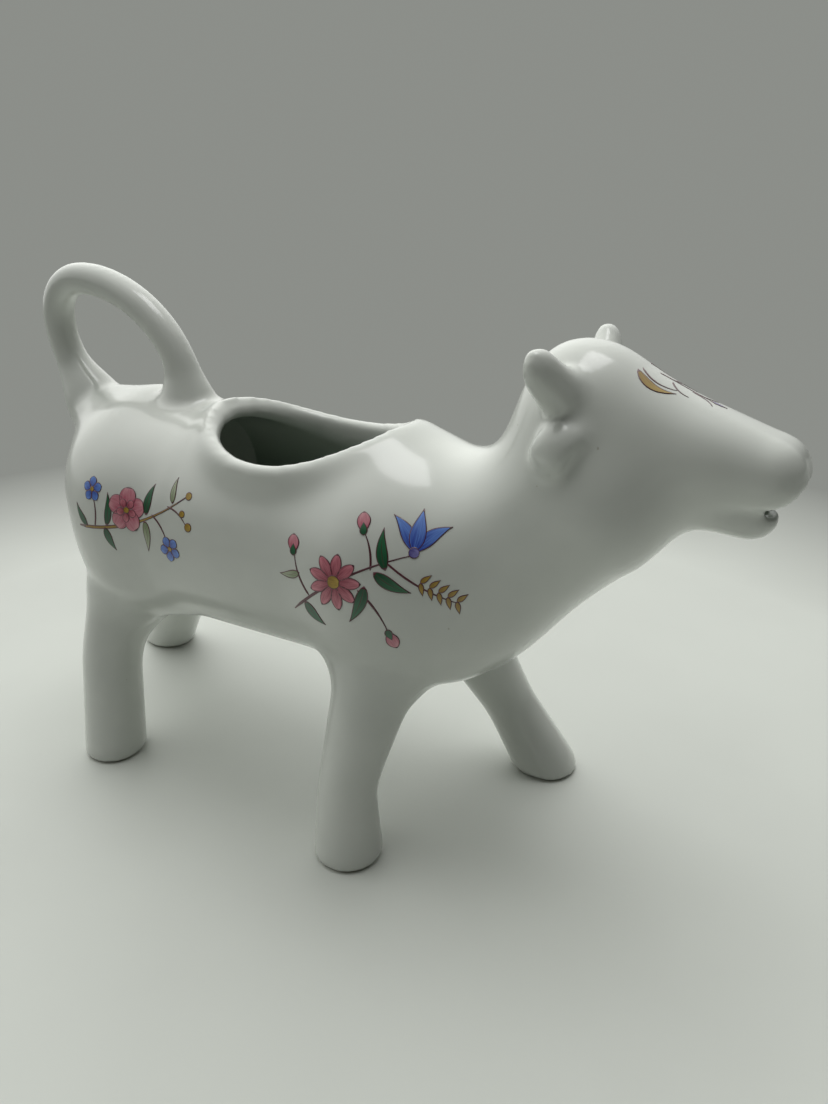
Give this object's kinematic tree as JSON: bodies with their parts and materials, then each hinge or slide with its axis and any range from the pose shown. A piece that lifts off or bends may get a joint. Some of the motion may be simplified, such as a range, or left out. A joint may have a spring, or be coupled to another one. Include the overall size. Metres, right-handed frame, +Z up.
{
  "type": "cow creamer",
  "caption": "White glazed porcelain cream jug in the shape of a walking cow, filled through an opening in the back, held by its looped tail and poured from the mouth.",
  "frame": {"origin": "the middle of the footprint, on the table under the cow", "axes": "+X toward the cow's nose, +Y toward its left side, +Z up"},
  "size_m": [0.1838, 0.0638, 0.1147],
  "materials": {
    "porcelain": "glossy white glaze with a faint cool cast"
  },
  "bodies": {
    "root": {"body_shell": "porcelain", "head_shell": "porcelain", "right_front_leg": "porcelain", "left_front_leg": "porcelain", "right_rear_leg": "porcelain", "left_rear_leg": "porcelain", "right_ear": "porcelain", "left_ear": "porcelain", "right_horn": "porcelain", "left_horn": "porcelain", "tail_handle": "porcelain"}
  },
  "joints": []
}
